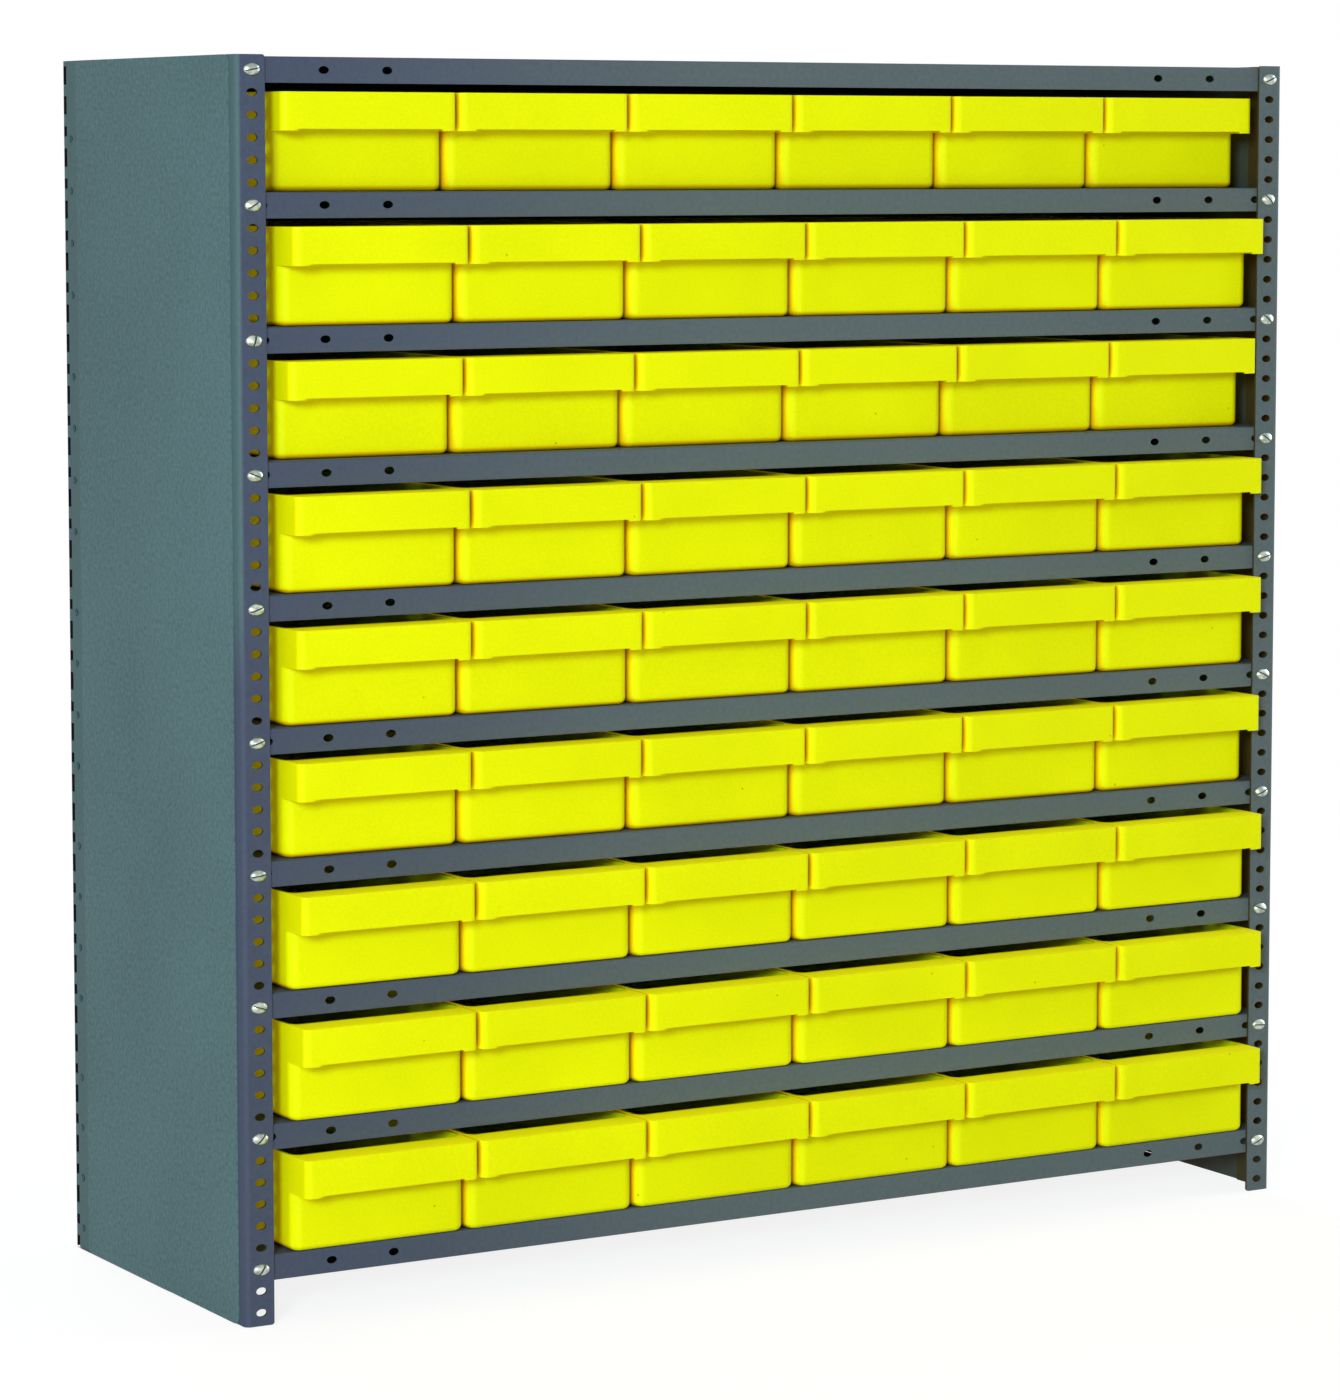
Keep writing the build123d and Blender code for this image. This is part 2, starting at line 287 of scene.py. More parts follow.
def baked_enamel(name, left, right, side, mottle_size, mottle_strength, side_from=-1.0):
    """Baked enamel on sheet steel: an even satin coat with a faint mottle and an orange-peel surface; where asked,
    painted light on the sides, and the plain painted shades are made the same way.
    """
    drift_size, peel_size, side_fade = 220 * MM, 2.4 * MM, 60 * MM
    material, tree, output, place = new_material(name)
    # Front faces drift from the left colour at the left post to the right colour at the middle
    spot = add_node(tree, "SeparateXYZ", {"Vector": place})
    share = add_node(
        tree,
        "MapRange",
        {"Value": spot.outputs["X"], "From Min": post_low.x, "From Max": 0.0},
        interpolation_type="SMOOTHSTEP",
    )
    front = add_node(tree, "MixRGB", {"Fac": share.outputs[0], "Color1": left, "Color2": right})
    # Painted light: faces turned to the side take the greener side colour from the given height up, standing in for the
    # other light that falls on the sides
    facing = add_node(tree, "SeparateXYZ", {"Vector": add_node(tree, "TexCoord").outputs["Normal"]})
    aside = add_node(tree, "Math", {0: facing.outputs["X"]}, operation="ABSOLUTE")
    turned = add_node(tree, "MapRange", {"Value": aside.outputs[0], "From Min": 0.2, "From Max": 0.6})
    high = add_node(
        tree, "MapRange", {"Value": spot.outputs["Z"], "From Min": side_from, "From Max": side_from + side_fade}
    )
    green = add_node(tree, "Math", {0: turned.outputs[0], 1: high.outputs[0]}, operation="MULTIPLY")
    base = add_node(tree, "MixRGB", {"Fac": green.outputs[0], "Color1": front.outputs[0], "Color2": side})
    # The mottle is drawn coarser than real enamel grain, which would be too fine to show
    drift = add_node(tree, "TexNoise", {"Vector": place, "Scale": 1 / drift_size, "Detail": 2.0})
    mottle = add_node(tree, "TexNoise", {"Vector": place, "Scale": 1 / mottle_size, "Detail": 3.0, "Roughness": 0.6})
    blend = add_node(tree, "MixRGB", {"Fac": 0.75, "Color1": drift.outputs["Fac"], "Color2": mottle.outputs["Fac"]})
    dark, light = 1.0 - mottle_strength, 1.0 + mottle_strength
    value = add_node(
        tree,
        "MapRange",
        {"Value": blend.outputs[0], "From Min": 0.38, "From Max": 0.62, "To Min": dark, "To Max": light},
    )
    toned = add_node(tree, "HueSaturation", {"Color": base.outputs[0], "Value": value.outputs[0]})
    peel = add_node(tree, "TexNoise", {"Vector": place, "Scale": 1 / peel_size, "Detail": 2.0})
    bump = add_node(tree, "Bump", {"Height": peel.outputs["Fac"], "Strength": 0.12, "Distance": 0.2 * MM})
    gloss = add_node(
        tree,
        "MapRange",
        {"Value": mottle.outputs["Fac"], "From Min": 0.3, "From Max": 0.7, "To Min": 0.5, "To Max": 0.62},
    )
    coat = add_node(
        tree,
        "BsdfPrincipled",
        {
            "Base Color": toned.outputs[0],
            "Roughness": gloss.outputs[0],
            "Normal": bump.outputs[0],
            "IOR": 1.5,
            "Specular IOR Level": 0.15,
        },
    )
    tree.links.new(coat.outputs[0], output.inputs["Surface"])
    return material


def bright_zinc_plate(name):
    """Bright zinc plate on turned steel: a silvery metal with clouded patches."""
    colours = bpy.context.scene.shelving_colours
    cloud_size = 5 * MM
    material, tree, output, place = new_material(name)
    cloud = add_node(tree, "TexNoise", {"Vector": place, "Scale": 1 / cloud_size, "Detail": 2.0}).outputs["Fac"]
    patch = add_node(tree, "MapRange", {"Value": cloud, "From Min": 0.38, "From Max": 0.62})
    toned = add_node(tree, "MixRGB", {"Fac": patch.outputs[0], "Color1": colours.zinc_dull, "Color2": colours.zinc})
    gloss = add_node(
        tree, "MapRange", {"Value": cloud, "From Min": 0.3, "From Max": 0.7, "To Min": 0.42, "To Max": 0.26}
    )
    metal = add_node(
        tree, "BsdfPrincipled", {"Base Color": toned.outputs[0], "Metallic": 1.0, "Roughness": gloss.outputs[0]}
    )
    tree.links.new(metal.outputs[0], output.inputs["Surface"])
    return material


# Coats of one colour: the colour, the size of the mottle and its strength
PLAIN_COATS = {
    # Green grey enamel, with the liveliest mottle
    "panel_enamel": ("panel", 3.2 * MM, 0.24),
    # Painted shade on the panels' inside, dark and even
    "panel_inside_painted_shade": ("panel_inside", 3.2 * MM, 0.1),
    # Green grey enamel, darker and calmer than the panels'
    "rear_post_enamel": ("post_side", 3.2 * MM, 0.12),
    # Painted shade inside the front posts, brown with painted light bounced off the yellow drawers, which shows warm
    # through the holes
    "post_inside_painted_shade": ("post_inside", 3.5 * MM, 0.1),
    # Painted shade in the bolts' slots, a dull grey line across a bright head
    "slot_painted_shade": ("slot_shade", 3.5 * MM, 0.1),
    # Painted shade inside the rear posts and their slots, nearly black and uneven
    "rear_post_painted_shade": ("rear_post_shade", 3.5 * MM, 0.3),
}


def finish(name):
    """The finish of that name, made once."""
    if name in bpy.data.materials:
        return bpy.data.materials[name]
    colours = bpy.context.scene.shelving_colours
    if name in PLAIN_COATS:
        chosen, mottle_size, mottle_strength = PLAIN_COATS[name]
        coat = getattr(colours, chosen)
        return baked_enamel(name, coat, coat, coat, mottle_size, mottle_strength)
    if name == "post_enamel":
        # The posts' sides take the painted side light from this height up
        side_from = 460 * MM
        return baked_enamel(
            name, colours.post_left, colours.post_right, colours.post_side, 3.5 * MM, 0.08, side_from
        )
    if name == "bright_zinc_plate":
        return bright_zinc_plate(name)
    # The plastic of the drawers' outer sides and lip tops has the painted glow
    return moulded_polypropylene(name, painted_glow=name == "polypropylene_painted_glow")


def block(bm, low, high):
    """Adds a box between two corners."""
    corners = bmesh.ops.create_cube(bm, size=1.0)["verts"]
    bmesh.ops.scale(bm, vec=Vector(high) - Vector(low), verts=corners)
    bmesh.ops.translate(bm, vec=(Vector(high) + Vector(low)) / 2, verts=corners)


def rod(bm, sides, diameter, run, middle_y=0.0):
    """Adds a closed rod along Y."""
    bmesh.ops.create_cone(
        bm, cap_ends=True, cap_tris=False, segments=sides, radius1=diameter / 2, radius2=diameter / 2, depth=run,
        matrix=Matrix.Translation((0, middle_y, 0)) @ Matrix.Rotation(math.pi / 2, 4, "X"),
    )


def everything(bm):
    """All the geometry of a mesh."""
    return bm.verts[:] + bm.edges[:] + bm.faces[:]


def only(geometry, kind):
    """The vertices, edges or faces among mixed geometry."""
    return [item for item in geometry if isinstance(item, kind)]


def edges_along(bm, axis):
    """Edges that run along one axis."""
    found = []
    for edge in bm.edges:
        run = edge.verts[1].co - edge.verts[0].co
        if abs(run[axis]) > 0.999 * run.length:
            found.append(edge)
    return found


def round_edges(bm, edges, radius, segments):
    """Rounds edges with a few flats."""
    bmesh.ops.bevel(
        bm, geom=edges, offset=radius, segments=segments, profile=0.5, affect="EDGES", material=-1, clamp_overlap=True
    )


def round_vertices(bm, vertices, radius, segments):
    """Rounds the corners of a flat sheet."""
    bmesh.ops.bevel(bm, geom=vertices, offset=radius, segments=segments, profile=0.5, affect="VERTICES", material=-1)


def copies(bm, moves):
    """Leaves one copy of the mesh at each of the places given."""
    source = everything(bm)
    for move in moves:
        made = bmesh.ops.duplicate(bm, geom=source)["geom"]
        bmesh.ops.transform(bm, matrix=move, verts=only(made, bmesh.types.BMVert))
    bmesh.ops.delete(bm, geom=only(source, bmesh.types.BMVert), context="VERTS")


def both_sides(bm):
    """Adds the mirror image across the middle of the unit."""
    made = bmesh.ops.duplicate(bm, geom=everything(bm))["geom"]
    bmesh.ops.scale(bm, vec=(-1, 1, 1), verts=only(made, bmesh.types.BMVert))
    bmesh.ops.reverse_faces(bm, faces=only(made, bmesh.types.BMFace))


def combine(body, tool, operation):
    """Joins or cuts one mesh with another, frees both and returns the result."""
    shapes = []
    for part in (body, tool):
        mesh = bpy.data.meshes.new("shape")
        part.to_mesh(mesh)
        part.free()
        shape = bpy.data.objects.new("shape", mesh)
        bpy.context.scene.collection.objects.link(shape)
        shapes.append(shape)
    cut = shapes[0].modifiers.new("cut", "BOOLEAN")
    cut.object = shapes[1]
    cut.operation = operation
    cut.solver = "EXACT"
    result = bmesh.new()
    result.from_object(shapes[0], bpy.context.evaluated_depsgraph_get())
    for shape in shapes:
        mesh = shape.data
        bpy.data.objects.remove(shape)
        bpy.data.meshes.remove(mesh)
    # Cuts leave slivers where they meet a corner
    bmesh.ops.remove_doubles(result, verts=result.verts[:], dist=SLIVER)
    bmesh.ops.dissolve_degenerate(result, dist=SLIVER, edges=result.edges[:])
    return result


def gather(whole, part):
    """Adds one mesh to another and frees it."""
    mesh = bpy.data.meshes.new("part")
    part.to_mesh(mesh)
    part.free()
    whole.from_mesh(mesh)
    bpy.data.meshes.remove(mesh)


def thicken(bm, gauge):
    """Gives an open sheet its thickness on the side away from its normals."""
    bmesh.ops.solidify(bm, geom=bm.faces[:], thickness=gauge)


def drill(width, height, reach, places, turn=0.0):
    """Round cutters along Y, or turned about Z, at the places given, with their own width and height."""
    bm = bmesh.new()
    rod(bm, HOLE_SIDES, 1.0, reach)
    bmesh.ops.scale(bm, vec=(width, 1, height), verts=bm.verts[:])
    copies(bm, [Matrix.Translation(place) @ Matrix.Rotation(turn, 4, "Z") for place in places])
    return bm


def place_piece(bm, name, finishes, node):
    """Makes a mesh a piece of the bolted frame."""
    mesh = bpy.data.meshes.new(name)
    bm.to_mesh(mesh)
    bm.free()
    place_mesh(mesh, name, finishes, FRAME_BODY, node)


def place_mesh(mesh, name, finishes, body, node):
    """Makes a finished mesh a shaded object that rides on its body and stands for its CAD node."""
    for material in finishes:
        mesh.materials.append(finish(material))
    mesh.shade_smooth()
    mesh.set_sharp_from_angle(angle=CRISP_EDGE)
    piece = bpy.data.objects.new(name, mesh)
    bpy.context.scene.collection.objects.link(piece)
    even = piece.modifiers.new("even_shading", "WEIGHTED_NORMAL")
    even.keep_sharp = True
    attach(piece, body)
    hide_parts(node)


def lowest_bolt(sizes):
    """The lowest bolts' distance from the middle of the unit, and their height."""
    return -(post_low.x + sizes.hole_inset), shelf_low.z + sizes.shelf_flange / 2


def angle_post(outer_y, inward):
    """The left post's bent sheet, with its front or rear flange at the place given and its side flange inward in Y."""
    sizes = bpy.context.scene.shelving_frame_sizes
    outer_x, top = post_low.x, post_high.z
    depth = post_high.y - post_low.y
    bm = bmesh.new()
    corners = [
        bm.verts.new(place)
        for place in (
            (outer_x + sizes.post_face, outer_y, 0),
            (outer_x, outer_y, 0),
            (outer_x, outer_y + inward * depth, 0),
        )
    ]
    line = [bm.edges.new(pair) for pair in zip(corners, corners[1:])]
    raised = bmesh.ops.extrude_edge_only(bm, edges=line)["geom"]
    bmesh.ops.translate(bm, vec=(0, 0, top), verts=only(raised, bmesh.types.BMVert))
    bmesh.ops.recalc_face_normals(bm, faces=bm.faces[:])
    if next(f for f in bm.faces if abs(f.normal.y) > 0.9).normal.y * inward > 0:
        bmesh.ops.reverse_faces(bm, faces=bm.faces[:])
    free = [v for v in bm.verts if abs(v.co.x - outer_x - sizes.post_face) < TOUCH]
    round_vertices(bm, free, sizes.post_corner, 3)
    bend = [e for e in edges_along(bm, 2) if len(e.link_faces) == 2]
    round_edges(bm, bend, sizes.post_bend, 6)
    thicken(bm, sizes.post_gauge)
    return bm


def line_inside(post, outer_y, inward):
    """Gives a post's inner faces and the walls of its holes the second finish, a painted shade, and its skin and ends
    the first.
    """
    near, turned = 0.2 * MM, 0.05
    for face in post.faces:
        middle = face.calc_center_median()
        bend = face.normal.x < -turned and face.normal.y * inward < -turned
        skin = bend or middle.x < post_low.x + near or (middle.y - outer_y) * inward < near
        end = abs(face.normal.z) > 0.9 and min(middle.z - post_low.z, post_high.z - middle.z) < near
        face.material_index = 0 if skin or end else 1


class SHELVING_OT_front_posts(bpy.types.Operator):
    """Build the two punched front posts"""

    bl_idname = "shelving.front_posts"
    bl_label = "Front posts"

    def execute(self, context):
        sizes = context.scene.shelving_frame_sizes
        post = angle_post(post_low.y, 1)
        count = int((post_high.z - sizes.hole_foot) // sizes.hole_space) + 1
        hole_x = post_low.x + sizes.hole_inset
        places = [(hole_x, post_low.y, sizes.hole_foot + i * sizes.hole_space) for i in range(count)]
        holes = drill(sizes.hole_width, sizes.hole_height, 4 * sizes.post_gauge, places)
        post = combine(post, holes, "DIFFERENCE")
        line_inside(post, post_low.y, 1)
        both_sides(post)
        finishes = ["post_enamel", "post_inside_painted_shade"]
        place_piece(post, "front_posts_punched", finishes, "front_posts")
        return {"FINISHED"}


class SHELVING_OT_rear_posts(bpy.types.Operator):
    """Build the two slotted rear posts"""

    bl_idname = "shelving.rear_posts"
    bl_label = "Rear posts"

    def execute(self, context):
        sizes = context.scene.shelving_frame_sizes
        post = angle_post(rear_high.y, -1)
        reach = 2 * sizes.post_gauge
        slots, pegs = self.lay_out(sizes)
        cutters = bmesh.new()
        for z, half in slots:
            middle = Vector((rear_low.x, rear_high.y - sizes.slot_inset, z))
            span = Vector((reach, sizes.slot_width / 2, half))
            block(cutters, middle - span, middle + span)
        places = [(rear_low.x, rear_high.y - sizes.peg_inset, z) for z in pegs]
        gather(cutters, drill(sizes.peg_diameter, sizes.peg_diameter, 2 * reach, places, math.pi / 2))
        bolt_x, bolt_z = lowest_bolt(sizes)
        places = [(-bolt_x, rear_high.y, bolt_z + i * sizes.shelf_pitch) for i in range(sizes.shelf_count)]
        gather(cutters, drill(sizes.hole_height, sizes.hole_height, 2 * reach, places))
        post = combine(post, cutters, "DIFFERENCE")
        line_inside(post, rear_high.y, -1)
        self.coat_pegs(post, sizes)
        both_sides(post)
        finishes = ["rear_post_enamel", "rear_post_painted_shade"]
        place_piece(post, "rear_posts_slotted", finishes, "rear_posts")
        return {"FINISHED"}

    def lay_out(self, sizes):
        """Heights and half lengths of the slots, in runs of two long ones and then short and long, and of the holes."""
        slots, pegs = [], []
        later_slots = 8
        drops = [0.0] + [sizes.slot_pair + i * sizes.slot_space for i in range(later_slots)]
        repeat = sizes.slot_pair + later_slots * sizes.slot_space
        top = rear_high.z - sizes.slot_top
        for run in range(math.ceil((top + sizes.slot_long / 2 - rear_low.z) / repeat)):
            for number, drop in enumerate(drops):
                z = top - run * repeat - drop
                if z + sizes.slot_long / 2 <= rear_low.z:
                    break
                short = number > 0 and number % 2 == 0
                slots.append((z, (sizes.slot_short if short else sizes.slot_long) / 2))
                if short:
                    pegs.append(z - sizes.peg_drop)
        return slots, pegs

    def coat_pegs(self, post, sizes):
        """Gives the walls of the small side holes the outer finish, so that only the slots show the painted shade from
        outside.
        """
        front = rear_high.y - sizes.peg_inset + sizes.peg_diameter
        inner = rear_low.x + 0.9 * sizes.post_gauge
        for face in post.faces:
            middle = face.calc_center_median()
            if middle.y < front and middle.x < inner:
                face.material_index = 0


class SHELVING_OT_side_panels(bpy.types.Operator):
    """Build the two side panels with rounded corners"""

    bl_idname = "shelving.side_panels"
    bl_label = "Side panels"

    def execute(self, context):
        sizes = context.scene.shelving_frame_sizes
        bm = bmesh.new()
        corners = [
            bm.verts.new((side_low.x, y, z))
            for y, z in (
                (side_low.y, side_low.z),
                (side_low.y, side_high.z),
                (side_high.y, side_high.z),
                (side_high.y, side_low.z),
            )
        ]
        sheet = bm.faces.new(corners)
        sheet.normal_update()
        if sheet.normal.x > 0:
            bmesh.ops.reverse_faces(bm, faces=[sheet])
        round_vertices(bm, bm.verts[:], sizes.panel_corner, 5)
        thicken(bm, sizes.panel_gauge)
        # The face towards the drawers has the painted shade
        for face in bm.faces:
            face.material_index = 1 if face.normal.x > 0.5 else 0
        both_sides(bm)
        finishes = ["panel_enamel", "panel_inside_painted_shade"]
        place_piece(bm, "side_panels_enamelled", finishes, "side_panels")
        return {"FINISHED"}


class SHELVING_OT_back_panel(bpy.types.Operator):
    """Give the back panel its enamel"""

    bl_idname = "shelving.back_panel"
    bl_label = "Back panel"

    def execute(self, context):
        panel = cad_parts["back_panel"]
        panel.data.materials.clear()
        panel.data.materials.append(finish("panel_enamel"))
        return {"FINISHED"}


class SHELVING_OT_shelves(bpy.types.Operator):
    """Build the shelves with their turned-down, punched edges"""

    bl_idname = "shelving.shelves"
    bl_label = "Shelves"

    # Millimetres from the bolt to the hole beside each post, from the lowest shelf up, or none where the post hides it
    near_holes = {
        -1: (None, 9.4, None, 7.3, 9.4, None, 8.8, 9.2, 8.2, None),
        1: (11.3, 11.0, None, 10.5, 10.5, None, 8.4, 11.0, 11.5, None),
    }

    def execute(self, context):
        sizes = context.scene.shelving_frame_sizes
        whole = bmesh.new()
        for level in range(sizes.shelf_count):
            shelf = combine(self.pan(sizes), self.punches(sizes, level), "DIFFERENCE")
            bmesh.ops.translate(shelf, vec=(0, 0, level * sizes.shelf_pitch), verts=shelf.verts[:])
            gather(whole, shelf)
        place_piece(whole, "shelves_punched", ["post_enamel"], "shelves")
        return {"FINISHED"}

    def pan(self, sizes):
        """The lowest shelf's bent sheet without its holes."""
        top = shelf_low.z + sizes.shelf_flange
        bm = bmesh.new()
        block(bm, shelf_low, (shelf_high.x, shelf_high.y, top))
        under = [f for f in bm.faces if f.normal.z < -0.5]
        bmesh.ops.delete(bm, geom=under, context="FACES_ONLY")
        rim = [e for e in bm.edges if all(abs(v.co.z - top) < TOUCH for v in e.verts)]
        round_edges(bm, rim, sizes.shelf_bend, 3)
        thicken(bm, sizes.shelf_gauge)
        return bm

    def punches(self, sizes, level):
        """The cutters for one shelf's holes, at the height of the lowest shelf."""
        bolt_x, bolt_z = lowest_bolt(sizes)
        reach = 4 * sizes.shelf_gauge
        front = []
        for side, near_holes in self.near_holes.items():
            near = near_holes[level % len(near_holes)]
            insets = [sizes.shelf_hole_middle, sizes.shelf_hole_far] + ([near * MM] if near else [])
            front += [(side * (bolt_x - inset), shelf_low.y, bolt_z) for inset in insets]
        bolts = [(side * bolt_x, y, bolt_z) for side in (-1, 1) for y in (shelf_low.y, shelf_high.y)]
        cutters = drill(sizes.hole_width, sizes.hole_height, reach, front)
        gather(cutters, drill(sizes.hole_height, sizes.hole_height, reach, bolts))
        return cutters


def slotted_head():
    """A slotted round head along Y with its seat at the origin."""
    sizes = bpy.context.scene.shelving_frame_sizes
    radius, rise = sizes.head_width / 2, sizes.head_rise
    head = bmesh.new()
    bmesh.ops.create_uvsphere(
        head, u_segments=20, v_segments=12, radius=radius, matrix=Matrix.Rotation(math.pi / 2, 4, "X")
    )
    bmesh.ops.bisect_plane(
        head, geom=everything(head), dist=1e-7, plane_co=(0, 0, 0), plane_no=(0, 1, 0), clear_outer=True
    )
    bmesh.ops.edgeloop_fill(head, edges=[e for e in head.edges if e.is_boundary])
    bmesh.ops.scale(head, vec=(1, rise / radius, 1), verts=head.verts[:])
    bmesh.ops.recalc_face_normals(head, faces=head.faces[:])
    half_slot, slot_floor = sizes.head_slot / 2, -0.5 * rise
    driver = bmesh.new()
    block(driver, (-2 * radius, -2 * rise, -half_slot), (2 * radius, slot_floor, half_slot))
    head = combine(head, driver, "DIFFERENCE")
    # The slot's walls and floor take a painted shade and read darker
    for face in head.faces:
        middle = face.calc_center_median()
        wall = abs(face.normal.z) > 0.99 and abs(abs(middle.z) - half_slot) < TOUCH
        floor = abs(face.normal.y) > 0.99 and abs(middle.y - slot_floor) < TOUCH
        face.material_index = 1 if wall or floor else 0
    return head


def shank_and_nut(grip):
    """A bolt's shank along Y from its seat at the origin, and its nut behind the sheets that it grips."""
    sizes = bpy.context.scene.shelving_frame_sizes
    nut_sides, shank_sides = 6, 12
    bm = bmesh.new()
    rod(bm, nut_sides, sizes.nut_across, sizes.nut_height, grip + sizes.nut_height / 2)
    rod(bm, shank_sides, sizes.shank_diameter, grip, grip / 2)
    return bm


class SHELVING_OT_bolts(bpy.types.Operator):
    """Build the slotted bolts with their nuts"""

    bl_idname = "shelving.bolts"
    bl_label = "Bolts"

    # Turn of each slot in degrees, as driven, from the lowest bolt up
    slot_turns = {
        -1: (65, 55, -25, 10, 25, 25, -30, 80, 40, 15),
        1: (35, -5, -30, 30, -35, 20, -45, -50, -55, 30),
    }

    def execute(self, context):
        sizes = context.scene.shelving_frame_sizes
        bolt_x, bolt_z = lowest_bolt(sizes)
        # The rear bolts also hold the back panel
        front_grip = sizes.post_gauge + sizes.shelf_gauge
        rear_grip = front_grip + sizes.panel_gauge
        seats = ((post_low.y, front_grip, 0.0), (bolt_high.y - sizes.head_rise, rear_grip, math.pi))
        # The slots stand at odd angles while the heads keep their flattened round
        flatten = Matrix.Diagonal((1, 1, sizes.head_depth / sizes.head_width, 1))
        whole = bmesh.new()
        for seat_y, grip, facing in seats:
            heads, shanks = [], []
            for side, turns in self.slot_turns.items():
                for level in range(sizes.shelf_count):
                    place = Matrix.Translation((side * bolt_x, seat_y, bolt_z + level * sizes.shelf_pitch))
                    place = place @ Matrix.Rotation(facing, 4, "Z")
                    shanks.append(place)
                    turn = math.radians(turns[level % len(turns)])
                    heads.append(place @ flatten @ Matrix.Rotation(-turn, 4, "Y"))
            for part, moves in ((slotted_head(), heads), (shank_and_nut(grip), shanks)):
                copies(part, moves)
                gather(whole, part)
        finishes = ["bright_zinc_plate", "slot_painted_shade"]
        place_piece(whole, "bolts_slotted", finishes, "bolts")
        return {"FINISHED"}


def rounded_block(low, high, upright_radius, foot_radius, only_front=False):
    """A box with rounded upright corners and, if asked, a rounded lower edge."""
    bm = bmesh.new()
    block(bm, low, high)
    uprights = edges_along(bm, 2)
    if only_front:
        uprights = [e for e in uprights if abs(e.verts[0].co.y - low[1]) < TOUCH]
    round_edges(bm, uprights, upright_radius, 6)
    if foot_radius:
        foot = [e for e in bm.edges if all(abs(v.co.z - low[2]) < TOUCH for v in e.verts)]
        round_edges(bm, foot, foot_radius, 4)
    return bm


def moulded_drawer():
    """One drawer with its lip's front at Y 0, its middle at X 0 and its foot at Z 0."""
    sizes = bpy.context.scene.shelving_drawer_sizes
    width, deep, tall = drawer_high - drawer_low
    half, wall = width / 2, sizes.wall
    lip_low = tall - sizes.lip_height
    # Cutters start and end this far outside, and the lip reaches this far past the tub's corners
    spare, overlap = 5 * MM, 1 * MM
    # Limits for welding points, for merging faces into one flat, and for rounding an edge
    weld, flat, crease = 0.01 * MM, math.radians(0.5), math.radians(40)
    tub = rounded_block((-half, sizes.lip_reach, 0), (half, deep, tall), sizes.corner, sizes.foot)
    lip_end = sizes.lip_reach + sizes.corner + overlap
    lip = rounded_block((-half, 0, lip_low), (half, lip_end, tall), sizes.lip_corner, 0, only_front=True)
    drawer = combine(tub, lip, "UNION")
    cavity = rounded_block(
        (-half + wall, sizes.lip_reach + wall, wall), (half - wall, deep - wall, tall + spare),
        sizes.corner - wall, sizes.foot - 0.5 * wall,
    )
    drawer = combine(drawer, cavity, "DIFFERENCE")
    channel = rounded_block(
        (-half + wall, wall, lip_low - spare), (half - wall, sizes.lip_reach, tall - wall),
        sizes.lip_corner - wall, 0, only_front=True,
    )
    drawer = combine(drawer, channel, "DIFFERENCE")
    notch = bmesh.new()
    block(
        notch, (-half + sizes.lip_tab, -spare, lip_low - spare),
        (half - sizes.lip_tab, sizes.lip_reach - 2 * wall, lip_low + sizes.lip_notch),
    )
    drawer = combine(drawer, notch, "DIFFERENCE")
    bmesh.ops.remove_doubles(drawer, verts=drawer.verts[:], dist=weld)
    bmesh.ops.dissolve_limit(
        drawer, angle_limit=flat, verts=drawer.verts[:], edges=drawer.edges[:], delimit={"NORMAL"}
    )
    sharp = [e for e in drawer.edges if e.is_manifold and e.calc_face_angle() > crease]
    round_edges(drawer, sharp, sizes.rim, 2)
    # The outer sides, whose normals point away from the middle, and the lip's top get the painted glow
    for face in drawer.faces:
        middle = face.calc_center_median()
        outer = face.normal.x * middle.x > 0.05 * half
        lip_top = face.normal.z > 0.5 and middle.y < sizes.lip_reach + wall and middle.z > lip_low
        face.material_index = 1 if outer or lip_top else 0
    return drawer


class SHELVING_OT_drawers(bpy.types.Operator):
    """Build a moulded drawer in every place"""

    bl_idname = "shelving.drawers"
    bl_label = "Drawers"

    def execute(self, context):
        drawer = moulded_drawer()
        # The second plastic has the painted glow
        plastics = ["moulded_polypropylene", "polypropylene_painted_glow"]
        pattern = bpy.data.meshes.new("drawer_pattern")
        drawer.to_mesh(pattern)
        drawer.free()
        for node in drawer_nodes:
            low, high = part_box(node)
            mesh = pattern.copy()
            mesh.transform(Matrix.Translation(((low.x + high.x) / 2, low.y, low.z)))
            place_mesh(mesh, node + "_moulded", plastics, node, node)
        bpy.data.meshes.remove(pattern)
        return {"FINISHED"}


def backdrop_rays(tree):
    """A factor of one for rays that show the backdrop itself: straight to the camera, in gloss or through glass."""
    path = add_node(tree, "LightPath")
    seen = add_node(
        tree, "Math", {0: path.outputs["Is Camera Ray"], 1: path.outputs["Is Glossy Ray"]}, operation="MAXIMUM"
    )
    through = add_node(tree, "Math", {0: seen.outputs[0], 1: path.outputs["Is Transmission Ray"]}, operation="MAXIMUM")
    return through.outputs[0]


